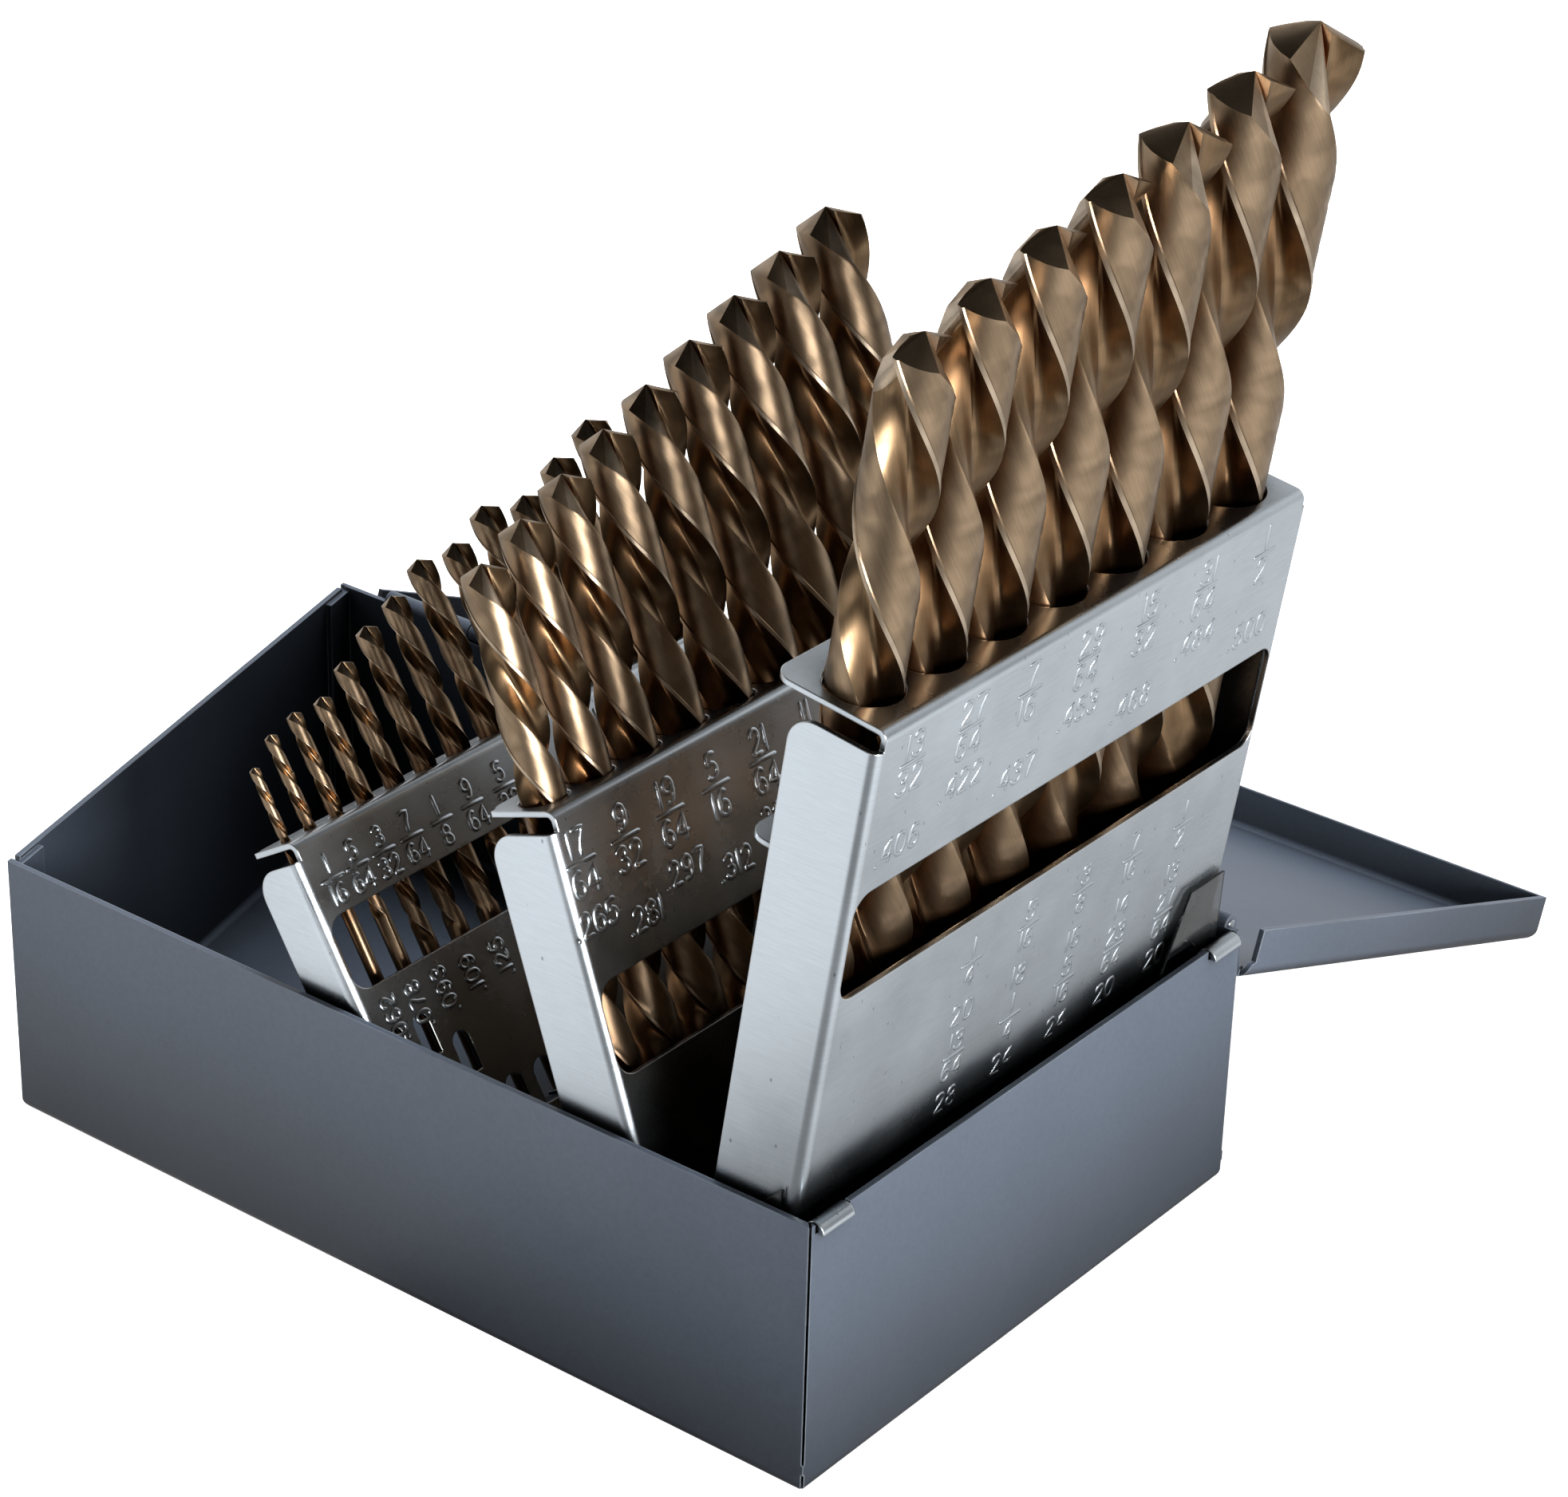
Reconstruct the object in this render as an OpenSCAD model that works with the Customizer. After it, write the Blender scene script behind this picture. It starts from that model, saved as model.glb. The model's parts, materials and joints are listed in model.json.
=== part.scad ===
// Drill bit case: a folded sheet tray with a hinged lid, and three plated stands that
// swing up one behind another and hold the drills upright. The origin is the middle of
// the base, +Z is up, the lid's hinge is at the back (+Y) and the stand of the largest
// drills is at the right (+X). The lid and the stands are drawn open.

/* [Case] */
// Width from the front wall to the back wall
case_w = 102; // [100:1:110]
// Length of the back wall
back_l = 178; // [176:1:186]
// Length of the front wall, shorter because the left wall slants
front_l = 150; // [148:1:158]
// Height of the walls
body_h = 43; // [42:0.5:48]
// Thickness of the painted sheet
sheet_t = 0.9; // [0.7:0.05:1]
// Outer radius of the folds along the base and round the lid
fold_r = 2; // [1.4:0.2:3]
// Gap of the open seams at the corners
seam_w = 0.35; // [0.2:0.05:0.6]

/* [Lid] */
// Depth of the lid over its flanges
lid_h = 7.6; // [6.8:0.2:10]
// Outer radius of the rolls on the hinge
roll_r = 1.6; // [1.4:0.1:2]
// Radius of the hinge wire
lid_pin_r = 0.8; // [0.5:0.1:0.9]
// Number of rolls along the hinge, those of the case and of the lid together
roll_count = 9; // [5:2:13]
// How far the lid's hinge flange leans in from the hinge
lid_lean = 5.2; // [4:0.2:7]

/* [Stands] */
// Room between the drill stands and the walls, on each side
stand_gap = 1; // [0.8:0.1:3]
// Thickness of the plated sheet
plate_t = 0.8; // [0.6:0.05:1]
// Outer radius of the folds on the stands
plate_r = 1.5; // [1.1:0.1:2.5]
// Outer radius of the stands' hinge rings
ring_r = 1.4; // [1.2:0.1:1.7]
// Radius of the stands' hinge pins
pin_r = 0.6; // [0.4:0.05:0.7]
// Number of rings along each stand's hinge, those of the bracket and the stand together
ring_count = 7; // [3:2:11]

/* [Large stand] */
// Height of the large stand
large_h = 85.6; // [80:0.2:92]
// Depth of the large stand in front of its hinge
large_d = 10.7; // [10:0.1:12]
// How far the large stand leans out past upright
large_lean = 8.2; // [2:0.2:9]

/* [Medium stand] */
// Height of the medium stand
medium_h = 73.5; // [70:0.5:80]
// Depth of the medium stand in front of its hinge
medium_d = 11.6; // [11.2:0.1:12.5]
// How far the medium stand leans back
medium_lean = 19.2; // [15:0.2:24]
// Distance between the large stand's hinge and the medium one's
medium_step = 17.6; // [17:0.2:20]

/* [Small stand] */
// Height of the small stand
small_h = 67.2; // [62:0.2:72]
// Depth of the small stand in front of its hinge
small_d = 9; // [8.6:0.1:10]
// How far the small stand leans back
small_lean = 31.5; // [26:0.5:36]
// Distance between the medium stand's hinge and the small one's
small_step = 33.4; // [30:0.2:36]

/* [Drills] */
// Room of a drill in its hole, across
hole_slack = 0.45; // [0.3:0.05:0.7]
// Length of one turn of the flutes, in drill diameters
turn_ratio = 5.44; // [4:0.1:7]
// Full angle of the drill points
point_angle = 135; // [118:1:140]

/* [Hidden] */
$fn = 48;
inch = 25.4;

// Clearances that all pieces share
run_gap = 0.3;
bore_gap = 0.05;
rest_gap = 0.2;
over = 1;

// Outline of the case
half_l = back_l / 2;
half_w = case_w / 2;
stand_w = case_w - 2 * (sheet_t + stand_gap);
slant = atan2(back_l - front_l, case_w);
// Each wall's outward direction and its distance from the origin
walls = [
    [0, half_l],
    [90, half_w],
    [180 + slant, half_l * cos(slant) - half_w * sin(slant)],
    [270, half_w]
];
span = back_l + case_w;

// Corner seams: where they start above the base, the slot under the bridge, the flare
seam_low = 5;
relief_top = 3.4;
left_seam_low = 6.5;
left_seam_flare = 0.9;
// Flaps of the front and back walls that lie inside the slanted wall
flap_w = 6.5;
flap_drop = 0.6;
// Lanced lug inside the back wall
lug_in = 12;
lug_w = 3;
lug_h = 2;
lug_out = 1.1;
// Notches in the right wall's rim for the bracket's hooks
notch_end = 1;
notch_w = 7.5;
notch_h = 1.5;

// Lid hinge
hinge_y = half_w - sheet_t + roll_r;
hinge_z = body_h - run_gap;
roll_bore = lid_pin_r + bore_gap;
roll_left = 10;
roll_right = 2;
roll_x0 = roll_left - half_l;
roll_step = (back_l - roll_left - roll_right) / roll_count;

// Lid, worked out closed and then turned open about its hinge
lid_low = body_h + rest_gap;
lid_top = lid_low + lid_h;
bend_y = hinge_y - lid_lean;
bend_z = lid_top - sheet_t;
arm = norm([lid_lean, bend_z - hinge_z]);
flange_turn = 90 - atan2(bend_z - hinge_z, lid_lean) - asin(roll_r / arm);
flange_l = sqrt(arm * arm - roll_r * roll_r);
flange_r = 3;
lid_end = 1.5;
lid_slope = 1.6;
// The turn at which the lid's outer edge comes to lie on the table
edge_u = half_w + hinge_y - fold_r;
edge_v = lid_top - hinge_z - fold_r;
edge_arm = norm([edge_u, edge_v]);
lid_open = 180 + asin((hinge_z - fold_r - rest_gap) / edge_arm) - atan2(edge_v, edge_u);

// Drills: sizes in 64ths of an inch, first and last of each stand
large_first = 26;
large_last = 32;
medium_first = 17;
medium_last = 25;
small_first = 4;
small_last = 16;
// Lengths of the sizes from 4/64 to 11/64, in inches
short_length_shares = [1.875, 2, 2.25, 2.625, 2.75, 2.875, 3.125, 3.25];
// Lengths of the flutes of all sizes from 4/64 on, in 16ths of an inch
flute_shares = [14, 16, 20, 24, 26, 28, 32, 34, 37, 39, 40, 42, 44, 46, 47, 49, 51, 53,
    55, 56, 58, 60, 62, 63, 65, 67, 69, 70, 72];
// Radius round half of a drill's section, from one cutting margin to the next
large_section_shares = [1, 0.97, 0.97, 0.8, 0.36, 0.42];
medium_section_shares = [1, 0.97, 0.93, 0.42, 0.38];
small_section_shares = [1, 0.97, 0.78, 0.38];
// Where the flutes run out they grow from the shank within this many diameters
runout_share = 1.3;
shank_share = 0.96;
// Each drill is turned a little further than the one before it
start_turn = 274;
next_turn = -6.6;

function drill_d(n) = n * inch / 64;
function drill_l(n) = (n < 12 ? short_length_shares[n - small_first] : 3.5 + (n - 12) / 8) * inch;
function flute_l(n) = flute_shares[n - small_first] * inch / 16;
function hole_d(n) = drill_d(n) + hole_slack;
function holes_w(first, n) = n < first ? 0 : hole_d(n) + holes_w(first, n - 1);
function web_w(first, last, edge) =
    (stand_w - 2 * edge - holes_w(first, last)) / (last - first);
function drill_y(first, last, edge, n) =
    edge - stand_w / 2 + holes_w(first, n - 1) + hole_d(n) / 2
    + (n - first) * web_w(first, last, edge);

// Metal left between the end holes and the sides of a stand
edge_w = 3;
small_edge_w = 3.5;

// Stand features: the rearward reach of the top shelf, the place of the holes, the
// side flanges' rear edge, and the window's lower and upper edges
large_back = 7.7;
large_hole = 1.7;
large_side = -2.7;
large_low = 44.5;
large_high = 61;
medium_back = 0.9;
medium_hole = 5.3;
medium_side = 0;
medium_low = 35.3;
medium_high = 48.8;
small_back = 0.9;
small_hole = 3.9;
small_side = 0;
small_low = 44;
small_high = 55.2;
shelf_r = 6;
side_r = 4;
corner_w = 1.6;
corner_h = 2;
window_in = 1.2;
window_r = 3;
stack_gap = 0.5;

// Height of the floor that the drills stand on, above a stand's hinge
floor_top = ring_r + run_gap;
floor_low = floor_top - plate_t;

// Stops of the small stand, which lift its short drills
stop_rise = 29.2;
stop_shares = [1, 1, 0.83, 0.51, 0.51, 0.51, 0.37, 0.37, 0.15, 0.15, 0, 0, 0];
stop_back = 1.4;
stop_side = 0.5;
function rise(n) = n > small_last ? 0 : stop_rise * stop_shares[n - small_first];

// The slanted wall's inner face at a place across the case
function wall_x(y) = (half_w - y) * tan(slant) - half_l + sheet_t / cos(slant);
// Hooks of the bracket over the right wall's rim, and the plate inside that wall
bracket_gap = 0.4;
hook_gap = 0.3;
hook_r = sheet_t / 2 + hook_gap + plate_t;
hook_x = half_l - sheet_t / 2;
hook_w = notch_w - 2 * bracket_gap;
hook_z = body_h - notch_h;
wall_plate_x = hook_x - hook_r;
wall_plate_drop = 2.5;
// The stands' hinges, the large one's a fixed distance inside the wall plate. Folded,
// the longest drills end just short of the slanted wall.
hinge_in = 14.2;
large_x = wall_plate_x - hinge_in;
medium_x = large_x - medium_step;
small_x = medium_x - small_step;
// Folded, each stand lies just above the one before it
small_z = sheet_t + run_gap + ring_r;
medium_z = small_z + small_d + stack_gap + medium_back;
large_z = medium_z + medium_d + stack_gap + large_back;

// Hinge rings along a stand
ring_bore = pin_r + bore_gap;
hinge_w = stand_w - 2 * corner_w;
ring_step = hinge_w / ring_count;

// Stepped bracket
bracket_w = case_w - 2 * sheet_t - 2 * bracket_gap;
foot_w = 1.6;
large_sweep = drill_d(large_last) / 2 - large_hole;
tread_a = large_z - large_sweep - run_gap - stack_gap;
tread_b = medium_z - ring_r - run_gap;
riser_b = medium_x + medium_d * cos(medium_lean) - floor_low * sin(medium_lean) + run_gap;
riser_c_in = 2.6;
riser_c = medium_x - riser_c_in;
base_plate_x = small_x + ring_r + run_gap;
stop_x = small_x + small_d * cos(small_lean) - floor_low * sin(small_lean) + run_gap;
stop_top = small_z + small_d * sin(small_lean) + floor_top;
stop_w = 14;
stop_y_share = 0.3;

// Clear slips that stand against the bracket's wall plate. The rear one rises beside its
// hook and has a tail that tapers upwards; the front one is folded round a corner of the
// large stand, so that it lies between the stand and the front wall.
slip_t = 0.4;
slip_low = 12;
slip_drop = 0.8;
slip_lean = 3;
rear_slip_w = 7.2;
rear_slip_h = 11.6;
rear_slip_tail = 7;
rear_slip_end = 1.4;
rear_slip_in = 10.7;
rear_slip_y = half_w - rear_slip_in;
front_slip_w = 6;
front_slip_l = 7.5;
front_slip_in = 3.9;
front_slip_drop = 2;
front_slip_h = 2.8;
front_slip_slope = 3.6;

paint = [0.40, 0.43, 0.48];
zinc = [0.66, 0.71, 0.75];
bronze = [0.48, 0.36, 0.25];
clear = [0.85, 0.90, 0.92, 0.4];

// A box between two corners
module span_box(low, high) {
    translate(low)
        cube(high - low);
}

// A flat shape with its two corners on the +X side rounded
module round_ended(x0, x1, y0, y1, r) {
    translate([x0, y0])
        square([x1 - r - x0, y1 - y0]);
    translate([x1 - 2 * r, y0 + r])
        square([2 * r, y1 - y0 - 2 * r]);
    for (y = [y0 + r, y1 - r])
        translate([x1 - r, y])
            circle(r);
}

// What a rounded corner leaves over, for cutting; the corner is at the origin
module corner_rest(r) {
    difference() {
        translate([-over, -over])
            square(r + over);
        translate([r, r])
            circle(r);
    }
}

// A flat shape drawn in X and Z, as deep as w across the middle of the case
module across(w) {
    rotate([90, 0, 0])
        linear_extrude(height = w, center = true)
            children();
}

// The side of the case's outline behind one wall, with a rounded lower edge
module wall_side(wall, inset, r, z0, z1) {
    d = wall[1] - inset;
    rotate([0, 0, wall[0]])
        across(span) {
            translate([d - span, z0])
                square([span - r, z1 - z0]);
            translate([d - 2 * r, z0 + r])
                square([2 * r, z1 - z0 - r]);
            translate([d - r, z0 + r])
                circle(r);
        }
}

// The case's outline as a block with rounded lower edges, drawn in by an inset
module outline_block(inset, r, z0, z1) {
    intersection() {
        wall_side(walls[0], inset, r, z0, z1);
        wall_side(walls[1], inset, r, z0, z1);
        wall_side(walls[2], inset, r, z0, z1);
        wall_side(walls[3], inset, r, z0, z1);
    }
}

// Every second roll of the lid's hinge, starting with the first or the second
module rolls(first, r, gap) {
    for (i = [first : 2 : roll_count - 1])
        translate([roll_x0 + i * roll_step + gap / 2, hinge_y, hinge_z])
            rotate([0, 90, 0])
                cylinder(h = roll_step - gap, r = r);
}

module hinge_bore(r) {
    translate([roll_x0 - over, hinge_y, hinge_z])
        rotate([0, 90, 0])
            cylinder(h = roll_count * roll_step + 2 * over, r = r);
}

// Open seam of a right corner: a long slot, a bridge and a short relief at the base
module right_seam(y_sign) {
    translate([half_l - sheet_t / 2, y_sign * (half_w - sheet_t / 2), 0])
        rotate([0, 0, y_sign * 45]) {
            span_box([-2 * sheet_t, -seam_w / 2, seam_low],
                [2 * sheet_t, seam_w / 2, body_h + over]);
            span_box([-sheet_t, -seam_w / 2, -over], [2 * sheet_t, seam_w / 2, relief_top]);
        }
}

// Seam at an end of the slanted wall, which opens a little towards the rim
module left_seam(x, y, y_sign) {
    translate([x, y, left_seam_low])
        rotate([0, 0, slant])
            mirror([0, y_sign > 0 ? 1 : 0, 0])
                translate([-over, sheet_t / cos(slant), 0])
                    rotate([90, 0, 90])
                        linear_extrude(height = sheet_t + over)
                            polygon([[0, 0], [seam_w, 0],
                                [seam_w + left_seam_flare, body_h], [0, body_h]]);
}

// Flap of a neighbouring wall, folded round and lying inside the slanted wall
module flap(y, y_sign) {
    translate([wall_x(y), y, fold_r])
        rotate([0, 0, slant])
            mirror([0, y_sign > 0 ? 1 : 0, 0])
                translate([-sheet_t / 2, -sheet_t / 2, 0])
                    cube([sheet_t * 3 / 2, flap_w + sheet_t / 2, body_h - fold_r - flap_drop]);
}

module case_body() {
    color(paint)
        difference() {
            union() {
                difference() {
                    outline_block(0, fold_r, 0, body_h);
                    outline_block(sheet_t, fold_r - sheet_t, sheet_t, body_h + over);
                    rolls(1, roll_r + run_gap, -run_gap);
                    right_seam(1);
                    right_seam(-1);
                    left_seam(-half_l, half_w, 1);
                    left_seam(half_l - front_l, -half_w, -1);
                    for (s = [0, 1])
                        mirror([0, s, 0])
                            span_box([half_l - sheet_t - over, half_w - notch_end - notch_w,
                                hook_z], [half_l + over, half_w - notch_end, body_h + over]);
                }
                flap(half_w - sheet_t, 1);
                flap(sheet_t - half_w, -1);
                rolls(0, roll_r, run_gap);
                translate([lug_in - half_l, half_w - sheet_t - lug_out, body_h - 2 * lug_h])
                    cube([lug_w, lug_out + sheet_t / 2, lug_h]);
            }
            hinge_bore(roll_bore);
        }
}

// The lid's hinge flange as a profile across the hinge: fold, slope and rear edge
module flange_profile() {
    translate([bend_y, bend_z])
        circle(sheet_t);
    translate([bend_y, bend_z])
        rotate(flange_turn)
            translate([0, -flange_l])
                square([sheet_t, flange_l]);
}

// The leaning flange over the lid's whole length, its free corners rounded
module hinge_flange() {
    intersection() {
        rotate([90, 0, 90])
            linear_extrude(height = span, center = true)
                flange_profile();
        translate([0, bend_y, 0])
            across(span)
                translate([lid_end - half_l, hinge_z])
                    difference() {
                        square([back_l - 2 * lid_end, lid_top - hinge_z]);
                        translate([0, run_gap])
                            corner_rest(flange_r);
                        translate([back_l - 2 * lid_end, run_gap])
                            mirror([1, 0])
                                corner_rest(flange_r);
                    }
    }
}

// What is cut from the side flanges next to the hinge, so that they end in a curve
module flange_end_cut() {
    rotate([90, 0, 90])
        linear_extrude(height = span, center = true)
            difference() {
                translate([bend_y - lid_slope, lid_low - over])
                    square([span, lid_h - sheet_t + over]);
                translate([bend_y - lid_slope, lid_top - sheet_t])
                    circle(lid_slope);
            }
}

module lid_closed() {
    difference() {
        union() {
            difference() {
                intersection() {
                    translate([0, 0, lid_top])
                        mirror([0, 0, 1])
                            outline_block(0, fold_r, 0, lid_h);
                    span_box([-span, -span, 0], [span, bend_y, lid_top + over]);
                }
                translate([0, 0, lid_top])
                    mirror([0, 0, 1])
                        outline_block(sheet_t, fold_r - sheet_t, sheet_t, lid_h + over);
                flange_end_cut();
            }
            difference() {
                hinge_flange();
                rolls(0, roll_r + run_gap, -2 * run_gap);
                span_box([-span, 0, 0], [roll_x0, span, hinge_z + roll_r]);
                span_box([roll_x0 + roll_count * roll_step, 0, 0],
                    [span, span, hinge_z + roll_r]);
            }
            rolls(1, roll_r, run_gap);
        }
        hinge_bore(roll_bore);
    }
}

module lid() {
    color(paint)
        translate([0, hinge_y, hinge_z])
            rotate([-lid_open, 0, 0])
                translate([0, -hinge_y, -hinge_z])
                    lid_closed();
}

module lid_hinge_pin() {
    color(zinc)
        translate([roll_x0, hinge_y, hinge_z])
            rotate([0, 90, 0])
                cylinder(h = roll_count * roll_step, r = lid_pin_r);
}

// A block with rounded front edges, as folded sheet has, from x0 to its front at x1
module folded_block(x0, x1, half, z0, z1, r) {
    intersection() {
        translate([0, 0, z0])
            linear_extrude(height = z1 - z0)
                round_ended(x0, x1, -half, half, r);
        across(2 * half)
            round_ended(x0, x1, z0, z1, r);
    }
}

// Every second ring of a stand's hinge, starting with the first or the second
module rings(first, r, gap) {
    for (i = [first : 2 : ring_count - 1])
        translate([0, i * ring_step + gap / 2 - hinge_w / 2, 0])
            rotate([-90, 0, 0])
                cylinder(h = ring_step - gap, r = r);
}

// Shelf that the drills pass through, with rounded rear corners
module shelf(back, front, z) {
    translate([0, 0, z])
        linear_extrude(height = plate_t)
            mirror([1, 0])
                round_ended(-front, back, -hinge_w / 2, hinge_w / 2, shelf_r / 2);
}

// Holes for a row of drills through a shelf at height z
module hole_row(first, last, edge, x, z) {
    for (n = [first : last])
        translate([x, drill_y(first, last, edge, n), z - over])
            cylinder(h = plate_t + 2 * over, d = hole_d(n));
}

// A stand: folded panel, shelf, guide, floor and side flanges, with its hinge rings
module stand(d, h, back, side, low, high, hole_x, first, last, edge) {
    half = stand_w / 2;
    difference() {
        union() {
            difference() {
                folded_block(side, d, half, floor_low, h, plate_r);
                folded_block(side - over, d - plate_t, half - plate_t, floor_top,
                    h - plate_t, plate_r - plate_t);
                // Open corners between the shelves and the side flanges
                for (s = [0, 1])
                    mirror([0, s, 0]) {
                        span_box([side - over, half - corner_w, h - plate_t - corner_h],
                            [d + over, half + over, h + over]);
                        span_box([side - over, half - corner_w, floor_low - over],
                            [d + over, half + over, floor_top + corner_h]);
                        translate([0, half, 0])
                            across(2 * corner_w) {
                                translate([side, floor_top + corner_h])
                                    corner_rest(side_r);
                                translate([side, h - plate_t - corner_h])
                                    mirror([0, 1])
                                        corner_rest(side_r);
                            }
                    }
                // Window in the panel
                rotate([90, 0, 90])
                    translate([0, 0, d - 2 * plate_r])
                        linear_extrude(height = 2 * plate_r + over)
                            for (s = [0, 1])
                                mirror([s, 0])
                                    round_ended(-over, half - window_in, low, high, window_r);
            }
            shelf(back, d - plate_r, h - plate_t);
            shelf(back, d - plate_t / 2, high);
            rings(1, ring_r, run_gap);
        }
        hole_row(first, last, edge, hole_x, h - plate_t);
        hole_row(first, last, edge, hole_x, high);
        // Room round the bracket's rings, and the bore for the pin
        rings(0, ring_r + run_gap, -run_gap);
        for (i = [0 : 2 : ring_count - 1])
            translate([0, i * ring_step - hinge_w / 2 - run_gap / 2, 0])
                span_box([side - over, 0, floor_low - over],
                    [ring_r + run_gap, ring_step + run_gap, floor_top + over]);
        translate([0, -half, 0])
            rotate([-90, 0, 0])
                cylinder(h = stand_w, r = ring_bore);
    }
}

// Places a piece drawn in a stand's own frame
module place_large() {
    translate([large_x, 0, large_z])
        rotate([0, large_lean, 0])
            children();
}

module place_medium() {
    translate([medium_x, 0, medium_z])
        rotate([0, -medium_lean, 0])
            children();
}

module place_small() {
    translate([small_x, 0, small_z])
        rotate([0, -small_lean, 0])
            children();
}

module stand_large() {
    color(zinc)
        place_large()
            stand(large_d, large_h, large_back, large_side, large_low, large_high,
                large_hole, large_first, large_last, edge_w);
}

module stand_medium() {
    color(zinc)
        place_medium()
            stand(medium_d, medium_h, medium_back, medium_side, medium_low, medium_high,
                medium_hole, medium_first, medium_last, edge_w);
}

// Tongue lanced from the small stand's panel under one short drill
module stop_tongue(n) {
    w = drill_d(n) + 2 * stop_side;
    translate([small_hole - stop_back, -w / 2, floor_top + rise(n) - plate_t])
        cube([small_d - small_hole + stop_back - plate_t / 2, w, plate_t]);
}

// Slot that the tongue leaves in the panel, with a round upper end
module stop_slot(n) {
    w = drill_d(n) + 2 * stop_side;
    reach = small_d - small_hole + stop_back;
    translate([small_d - plate_t - over, 0, floor_top + rise(n)])
        rotate([90, 0, 90])
            linear_extrude(height = plate_t + 2 * over) {
                translate([-w / 2, 0])
                    square([w, reach - w / 2]);
                translate([0, reach - w / 2])
                    circle(w / 2);
            }
}

module stand_small() {
    lifted = [for (n = [small_first : small_last]) if (rise(n) > 0) n];
    color(zinc)
        place_small() {
            difference() {
                stand(small_d, small_h, small_back, small_side, small_low, small_high,
                    small_hole, small_first, small_last, small_edge_w);
                for (n = lifted)
                    translate([0, drill_y(small_first, small_last, small_edge_w, n), 0])
                        stop_slot(n);
            }
            for (n = lifted)
                translate([0, drill_y(small_first, small_last, small_edge_w, n), 0])
                    stop_tongue(n);
        }
}

module hinge_pin() {
    color(zinc)
        translate([0, -hinge_w / 2, 0])
            rotate([-90, 0, 0])
                cylinder(h = hinge_w, r = pin_r);
}

// The bracket's rings at one hinge, each on a foot that reaches down to a tread
module bracket_rings(x, z, tread) {
    translate([x, 0, z])
        difference() {
            union() {
                rings(0, ring_r, run_gap);
                for (i = [0 : 2 : ring_count - 1])
                    translate([-foot_w / 2, i * ring_step + run_gap / 2 - hinge_w / 2,
                        tread - z - plate_t / 2])
                        cube([foot_w, ring_step - run_gap, z - tread + plate_t / 2]);
            }
            translate([0, -stand_w / 2, 0])
                rotate([-90, 0, 0])
                    cylinder(h = stand_w, r = ring_bore);
        }
}

// Hook that curls over the right wall's rim, in its notch
module rim_hook() {
    rise_h = hook_z - (body_h - wall_plate_drop) + over;
    translate([hook_x, half_w - notch_end - notch_w / 2, hook_z]) {
        across(hook_w)
            difference() {
                circle(hook_r);
                circle(hook_r - plate_t);
                translate([-2 * hook_r, -4 * hook_r])
                    square(4 * hook_r);
            }
        translate([-hook_r, -hook_w / 2, -rise_h])
            cube([plate_t, hook_w, rise_h]);
    }
}

// Staircase of plated sheet under the three stands
module step_bracket() {
    color(zinc) {
        across(bracket_w) {
            translate([wall_plate_x, tread_a - plate_t])
                square([plate_t, body_h - wall_plate_drop - tread_a + plate_t]);
            translate([riser_b, tread_a - plate_t])
                square([wall_plate_x + plate_t - riser_b, plate_t]);
            translate([riser_b, tread_b - plate_t])
                square([plate_t, tread_a - tread_b + plate_t]);
            translate([riser_c, tread_b - plate_t])
                square([riser_b + plate_t - riser_c, plate_t]);
            translate([riser_c, sheet_t])
                square([plate_t, tread_b - sheet_t]);
            translate([base_plate_x, sheet_t])
                square([riser_c + plate_t - base_plate_x, plate_t]);
        }
        for (s = [0, 1])
            mirror([0, s, 0])
                rim_hook();
        bracket_rings(large_x, large_z, tread_a);
        bracket_rings(medium_x, medium_z, tread_b);
        bracket_rings(small_x, small_z, sheet_t + plate_t);
        // Feet of the lowest rings, out to the base plate
        for (i = [0 : 2 : ring_count - 1])
            translate([small_x, i * ring_step + run_gap / 2 - hinge_w / 2, sheet_t])
                cube([base_plate_x + plate_t - small_x, ring_step - run_gap, plate_t]);
        // Upstands that the small stand leans on
        for (y = [-stop_y_share, stop_y_share])
            translate([stop_x, y * case_w - stop_w / 2, sheet_t])
                cube([plate_t, stop_w, stop_top - sheet_t]);
    }
}

// Clear slip beside the rear hook, its upper part leaning out a little
module clear_slip_rear() {
    top = rear_slip_h;
    color(clear)
        translate([wall_plate_x - slip_t, rear_slip_y, body_h - slip_drop])
            intersection() {
                across(2 * (rear_slip_w + rear_slip_tail))
                    polygon([
                        [0, -slip_low], [slip_t, -slip_low],
                        [slip_t, -slip_t * tan(slip_lean / 2)],
                        [top * sin(slip_lean) + slip_t * cos(slip_lean),
                            top * cos(slip_lean) - slip_t * sin(slip_lean)],
                        [top * sin(slip_lean), top * cos(slip_lean)], [0, 0]
                    ]);
                rotate([90, 0, 90])
                    translate([0, 0, -over])
                        linear_extrude(height = top)
                            polygon([
                                [-rear_slip_tail, -slip_low - over],
                                [rear_slip_w, -slip_low - over], [rear_slip_w, top],
                                [-rear_slip_end, top], [-rear_slip_tail, 0]
                            ]);
            }
}

// Clear slip round the large stand's front corner
module clear_slip_front() {
    side_y = stand_w / 2 + run_gap;
    color(clear)
        translate([wall_plate_x, -side_y - slip_t, body_h])
            intersection() {
                translate([0, 0, -span])
                    linear_extrude(height = 2 * span) {
                        translate([-front_slip_l, 0])
                            square([front_slip_l, slip_t]);
                        translate([-slip_t, 0])
                            square([slip_t, front_slip_w]);
                    }
                across(span)
                    polygon([
                        [-front_slip_l, -slip_low], [0, -slip_low], [0, -front_slip_drop],
                        [-front_slip_in, -front_slip_drop], [-front_slip_in, front_slip_h],
                        [-front_slip_l, front_slip_h - front_slip_slope]
                    ]);
            }
}

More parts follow.
